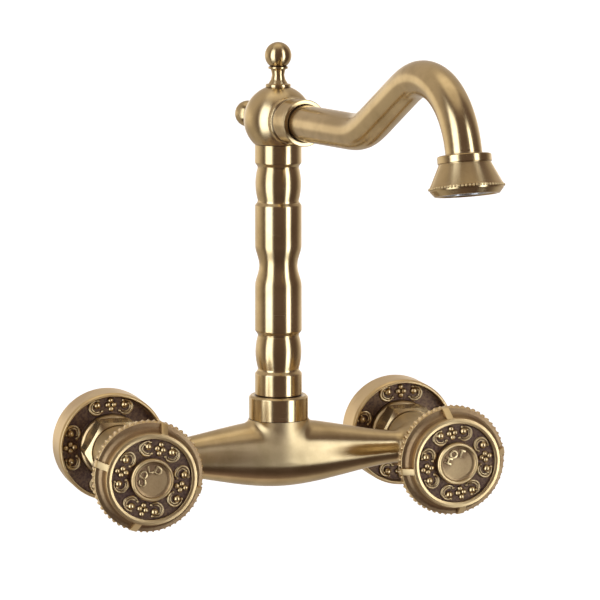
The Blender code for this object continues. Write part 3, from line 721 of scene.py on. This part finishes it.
col = [(7.6, 156.6, 0.2), (7.6, 151.15, 0.1), (11.25, 151.15, 0.4), (11.3, 142.0, 1.1), (10.15, 140.5, 0.35), (10.0, 139.6, 0.2)]
col += bulge(139.4, 124.4, 10.05, 11.1)[1:-1]
col += [(10.0, 123.9, 0.2), (10.15, 123.0, 0.35), (11.3, 121.5, 1.1), (11.32, 102.4, 0.8)]
col += waist(101.9, 82.6, 11.32, 9.32)[1:-1]
col += [(11.35, 82.1, 0.8), (11.4, 60.4, 1.1), (10.15, 58.8, 0.35), (10.0, 57.9, 0.2)]
col += bulge(57.7, 42.2, 10.05, 11.2)[1:-1]
col += [(10.0, 41.7, 0.2), (10.15, 40.9, 0.35), (11.42, 39.4, 1.1), (11.45, 28.95, 0.4), (8.0, 28.95, 0.1), (8.0, 24.6, 0.1),
        (7.0, 24.4, 0.1), (7.0, 20.6, 0.1), (8.0, 20.4, 0.1), (8.0, 9.0, 0.2), (5.2, 9.0, 0.2), (5.2, 156.6, 0.2)]
lathe("riser", col, COLUMN, BRASS, "spout", ["riser_column"], seg=128)

# --------------------------------------------------------------- ball head
prof = []
for i in range(0, 61):
    a = math.radians(90 - 3 * i)
    r, h = 16.6 * math.cos(a), BALL_Z + 16.6 * math.sin(a)
    if h > 178.4 or h < 151.2:
        continue
    prof.append((r, h, 0))
r_top = math.sqrt(16.6 ** 2 - (178.4 - BALL_Z) ** 2)
r_bot = math.sqrt(16.6 ** 2 - (151.2 - BALL_Z) ** 2)
prof = [(2.8, 172.0, 0), (2.8, 178.4, 0), (r_top, 178.4, 0)] + prof + [(r_bot, 151.2, 0), (7.9, 151.2, 0), (7.9, 157.6, 0), (2.8, 157.6, 0)]
lathe("ball", prof, SWING, BRASS, "spout", ["ball_head"], seg=128, sharp=32)


def finial(name, matrix, seat, at, node_name):
    r = 6.45
    p = [(0.0, at + r)]
    for i in range(1, 31):
        a = math.radians(90 - i * 4.75)
        p.append((r * math.cos(a), at + r * math.sin(a), 0))
    n = at - 5.3
    p += [(3.7, n + 0.2, 0.3), (4.75, n - 0.1, 0.35), (4.75, n - 1.05, 0.35), (3.7, n - 1.3, 0.3), (3.35, n - 2.0, 0.6), (3.0, n - 3.9, 3.0),
          (3.0, seat + 5.6, 3.0), (3.5, seat + 3.4, 2.0), (4.4, seat + 2.0, 1.0), (4.7, seat + 1.45, 0.3), (5.9, seat + 1.3, 0.45), (6.1, seat + 0.7, 0.45),
          (5.95, seat - 0.28, 0.2), (2.5, seat - 0.28, 0.1), (2.5, seat - 6.0, 0.1), (0.0, seat - 6.0)]
    lathe(name, p, matrix, BRASS, "spout", [node_name], closed=False, seg=72)


finial("finial_top", SWING, 178.7, 193.7, "top_finial")
finial("finial_rear", REAR, 15.8, 36.0, "rear_finial")

# --------------------------------------------------------------- spout
lathe("spout_ferrule", [
    (9.2, 30.8, 0.35), (10.95, 30.8, 0.3), (11.2, 30.2, 0.3), (11.2, 28.9, 0.35), (10.55, 28.3, 0.15), (10.5, 27.9, 0.15), (10.75, 27.5, 0.3),
    (10.75, 18.0, 0.4), (10.2, 17.3, 0.15), (10.2, 16.9, 0.15), (11.2, 16.3, 0.6), (11.65, 15.1, 0.8), (11.5, 13.7, 0.6), (10.9, 12.45, 0.2),
    (7.4, 12.45, 0.1), (7.4, 8.6, 0.1), (5.4, 8.6, 0.1), (5.4, 20.0, 0.2), (8.75, 20.0, 0.2), (8.75, 30.3, 0.1)],
    SPOUT, BRASS, "spout", ["spout_collar"], seg=128)


def spout_points():
    pts = []
    s, z, th = 20.3, SPOUT_Z, 0.0
    ds = 0.5
    # curvature as a function of arc length, smoothed so the bends flow into each other
    runs = [(84.0 - 20.3, 0.0), (38.0 * math.radians(28.5), 1 / 38.0), (40.9, 0.0),
            (36.95 * (math.radians(79.5) + math.radians(28.5)), -1 / 36.95), (4.5, 0.0)]
    total = sum(r[0] for r in runs)
    n = int(total / ds)
    ds = total / n
    k = np.zeros(n)
    acc = 0.0
    for ln, c in runs:
        i0, i1 = int(round(acc / ds)), int(round((acc + ln) / ds))
        k[i0:i1] = c
        acc += ln
    w = np.exp(-0.5 * (np.arange(-24, 25) * ds / 4.0) ** 2)
    w /= w.sum()
    k = np.convolve(np.pad(k, 24, mode="edge"), w, "valid")
    for i in range(n + 1):
        pts.append((s, z, th))
        if i < n:
            th += k[i] * ds / 2
            s += ds * math.cos(th)
            z += ds * math.sin(th)
            th += k[i] * ds / 2
    return pts


SP = spout_points()
NZ_END = (192.101, 161.557)
NZ_TH = math.radians(-79.5)
# carry the smoothed path's end onto the nozzle's axis
end_want = (NZ_END[0] + 4.5 * math.cos(NZ_TH), NZ_END[1] + 4.5 * math.sin(NZ_TH))
ex, ez = end_want[0] - SP[-1][0], end_want[1] - SP[-1][1]
n = len(SP) - 1
bm = bmesh.new()
uvl = bm.loops.layers.uv.new("UVMap")
fade = [0.5 - 0.5 * math.cos(math.pi * min(1.0, max(0.0, (i / n - 0.25) / 0.7))) for i in range(n + 1)]
line = [Vector((0, -(p[0] + ex * f) * MM, (p[1] + ez * f) * MM)) for p, f in zip(SP, fade)][::3]
if len(SP) % 3 != 1:
    line.append(Vector((0, -end_want[0] * MM, end_want[1] * MM)))
m = len(line) - 1
rad = [(8.7 + (7.9 - 8.7) * i / m) * MM for i in range(m + 1)]
outer = sweep(bm, line, rad, 72, cap=False, uvl=uvl, ups=Vector((1, 0, 0)))
inner = sweep(bm, line, [5.9 * MM] * (m + 1), 40, cap=False, uvl=uvl, ups=Vector((1, 0, 0)))
for A, B in ((outer[0], inner[0]), (outer[-1], inner[-1])):
    ea = [bm.edges.get((A[i], A[(i + 1) % len(A)])) for i in range(len(A))]
    eb = [bm.edges.get((B[i], B[(i + 1) % len(B)])) for i in range(len(B))]
    bmesh.ops.bridge_loops(bm, edges=ea + eb)
place("swan_neck", finish_bm("swan_neck", bm), SWING, BRASS_TUBE, "spout", ["spout_tube"], sharp=50)

# --------------------------------------------------------------- nozzle
d = (math.cos(NZ_TH), math.sin(NZ_TH))
NOZZLE = (SWING @ Matrix.Translation((0, -NZ_END[0] * MM, NZ_END[1] * MM))
          @ Matrix.Rotation(math.atan2(d[0], d[1]), 4, "X"))
lathe("nozzle", [
    (12.5, 17.2, 0.2), (13.9, 17.2, 0.3), (15.75, 15.0, 0.5), (15.95, 14.35, 0.2), (15.95, 13.35, 0.2), (15.7, 12.9, 0.2), (11.45, 4.1, 1.0),
    (11.25, 3.55, 0.2), (11.65, 3.3, 0.2), (11.65, 0.35, 0.35), (11.0, 0.0, 0.3), (8.3, 0.0, 0.2), (8.3, 7.6, 0.1), (11.9, 7.6, 0.2), (11.9, 16.4, 0.2)],
    NOZZLE, BRASS, "spout", ["nozzle_bell"], seg=128)
bm = bmesh.new()
nb = 64
for i in range(nb):
    a = math.tau * i / nb
    M = Matrix.Translation((15.88 * math.cos(a) * MM, 15.88 * math.sin(a) * MM, 13.85 * MM)) @ Matrix.Scale(0.62 * MM, 4)
    bmesh.ops.create_icosphere(bm, subdivisions=2, radius=1.0, matrix=M)
place("nozzle_beads", finish_bm("nozzle_beads", bm), NOZZLE, BRASS_RELIEF, "spout", sharp=80)
lathe("aerator_ring", [(11.5, 16.7, 0.25), (11.6, 9.6, 0.2), (9.6, 9.6, 0.2), (9.6, 15.6, 0.1), (8.7, 15.6, 0.15), (8.7, 16.7, 0.25)],
      NOZZLE, STEEL, "spout", ["aerator_housing"], seg=96)


# aerator face: rings and spokes over a dished core
prof = [(0.0, 15.3), (0.9, 15.3, 0.15)]
for k in range(4):
    r = 1.5 + k * 2.0
    prof += [(r - 0.35, 14.3, 0.1), (r + 0.35, 14.3, 0.1), (r + 0.6, 15.3, 0.1), (r + 1.2, 15.3, 0.1)]
prof += [(9.2, 15.3, 0.2), (9.2, 11.0, 0.4), (6.0, 9.8, 0.4), (0.0, 9.8)]
lathe("aerator_insert", prof, NOZZLE, PLASTIC, "spout", ["aerator_core"], closed=False, seg=72)
bm = bmesh.new()
for k in range(12):
    R = Matrix.Rotation(k * math.tau / 12, 4, "Z")
    bmesh.ops.create_cube(bm, size=1.0, matrix=R @ Matrix.Translation((5.0 * MM, 0, 14.75 * MM)) @ Matrix.Diagonal((7.6 * MM, 0.45 * MM, 0.9 * MM, 1)))
bmesh.ops.bevel(bm, geom=list(bm.edges), offset=0.08 * MM, segments=2, affect="EDGES")
place("aerator_spokes", finish_bm("aerator_spokes", bm), NOZZLE, PLASTIC, "spout", sharp=40)

# --------------------------------------------------------------- carried-over CAD nodes
REC = {s["node"]: s["material_slot"] for s in frame["record"]["subparts"]}
BY_SLOT = {"antique_brass": BRASS, "raw_brass": RAW, "stainless": STEEL, "rubber": RUBBER, "ceramic": CERAMIC, "plastic": PLASTIC}
for nm, ob in frame["nodes"].items():
    if ob.hide_render:
        continue
    for s in ob.material_slots:
        s.material = BY_SLOT[REC[nm]]

# --------------------------------------------------------------- studio
bm = bmesh.new()
bmesh.ops.create_grid(bm, x_segments=1, y_segments=1, size=40.0)
me = bpy.data.meshes.new("floor")
bm.to_mesh(me)
bm.free()
floor = bpy.data.objects.new("floor", me)
floor.location = (0, 0, -0.32)
scene.collection.objects.link(floor)
fm = bpy.data.materials.new("pale_floor")
fm.use_nodes = True
fb = fm.node_tree.nodes["Principled BSDF"]
fb.inputs["Base Color"].default_value = (0.86, 0.86, 0.86, 1)
fb.inputs["Roughness"].default_value = 0.9
fb.inputs["Emission Color"].default_value = (1, 1, 1, 1)
fb.inputs["Emission Strength"].default_value = 0.55
me.materials.append(fm)
floor.visible_glossy = False

world = bpy.data.worlds.new("studio")
scene.world = world
world.use_nodes = True
wt = world.node_tree
wt.nodes.clear()
WL = wt.links.new
wo = wt.nodes.new("ShaderNodeOutputWorld")
bg = wt.nodes.new("ShaderNodeBackground")
WL(bg.outputs[0], wo.inputs[0])
wc = wt.nodes.new("ShaderNodeTexCoord")
sp = wt.nodes.new("ShaderNodeSeparateXYZ")
WL(wc.outputs["Generated"], sp.inputs[0])
negy = math_node(wt, "MULTIPLY", sp.outputs["Y"], -1.0)
az = math_node(wt, "MULTIPLY", math_node(wt, "ARCTAN2", sp.outputs["X"], negy), 57.29578)
el = math_node(wt, "MULTIPLY", math_node(wt, "ARCSINE", sp.outputs["Z"]), 57.29578)


def band(src, a, b, c, e):
    """1 between b and c, fading to 0 at a and e."""
    up = maprange(wt, src, a, b, 0.0, 1.0, True)
    dn = maprange(wt, src, c, e, 1.0, 0.0, True)
    return math_node(wt, "MULTIPLY", up, dn)


def patch(azb, elb, value):
    return math_node(wt, "MULTIPLY", math_node(wt, "MULTIPLY", band(az, *azb), band(el, *elb)), value)


def total(*parts):
    acc = parts[0]
    for p in parts[1:]:
        acc = math_node(wt, "ADD", acc, p)
    return acc


absaz = math_node(wt, "ABSOLUTE", az)
dim = total(maprange(wt, el, -55.0, 30.0, 0.10, 0.17, True), maprange(wt, el, -88.0, -60.0, 0.22, 0.0, True))
soft = total(maprange(wt, absaz, 84.0, 118.0, 0.0, 0.40, True),           # pale wall behind
             math_node(wt, "MULTIPLY", maprange(wt, absaz, 105.0, 135.0, 0.0, 0.55, True), band(el, -15, -5, 5, 16)),
             maprange(wt, el, 54.0, 74.0, 0.0, 0.62, True))               # ceiling
boxes = total(patch((24, 30, 42, 50), (-41, -29, 34, 48), 4.6),          # right soft box
              patch((-86, -74, -52, -40), (-41, -29, 36, 50), 3.4))       # left soft box


def channel(a, b, c):
    return total(math_node(wt, "MULTIPLY", dim, a), math_node(wt, "MULTIPLY", soft, b), math_node(wt, "MULTIPLY", boxes, c))


cc = wt.nodes.new("ShaderNodeCombineColor")
WL(channel(1.0, 1.0, 0.86), cc.inputs[0])
WL(channel(0.74, 0.97, 0.96), cc.inputs[1])
WL(channel(0.70, 0.88, 1.12), cc.inputs[2])
WL(cc.outputs[0], bg.inputs["Color"])
bg.inputs["Strength"].default_value = 1.0

scene.view_settings.view_transform = "Standard"
scene.view_settings.look = "None"
scene.view_settings.exposure = 0.0

# --------------------------------------------------------------- camera
a, e = math.radians(-15.7132), math.radians(7.8792)
backv = Vector((math.sin(a) * math.cos(e), -math.cos(a) * math.cos(e), math.sin(e)))
T = Vector((0.0114736, -0.05, 0.0744089))
cd = bpy.data.cameras.new("camera")
cd.sensor_width = 36.0
cd.lens = 3080.19 / 600 * 36.0
cd.clip_start = 0.05
cd.clip_end = 200.0
cam = bpy.data.objects.new("camera", cd)
scene.collection.objects.link(cam)
cam.location = T + backv * 1.5
cam.rotation_euler = backv.to_track_quat("Z", "Y").to_euler()
scene.camera = cam
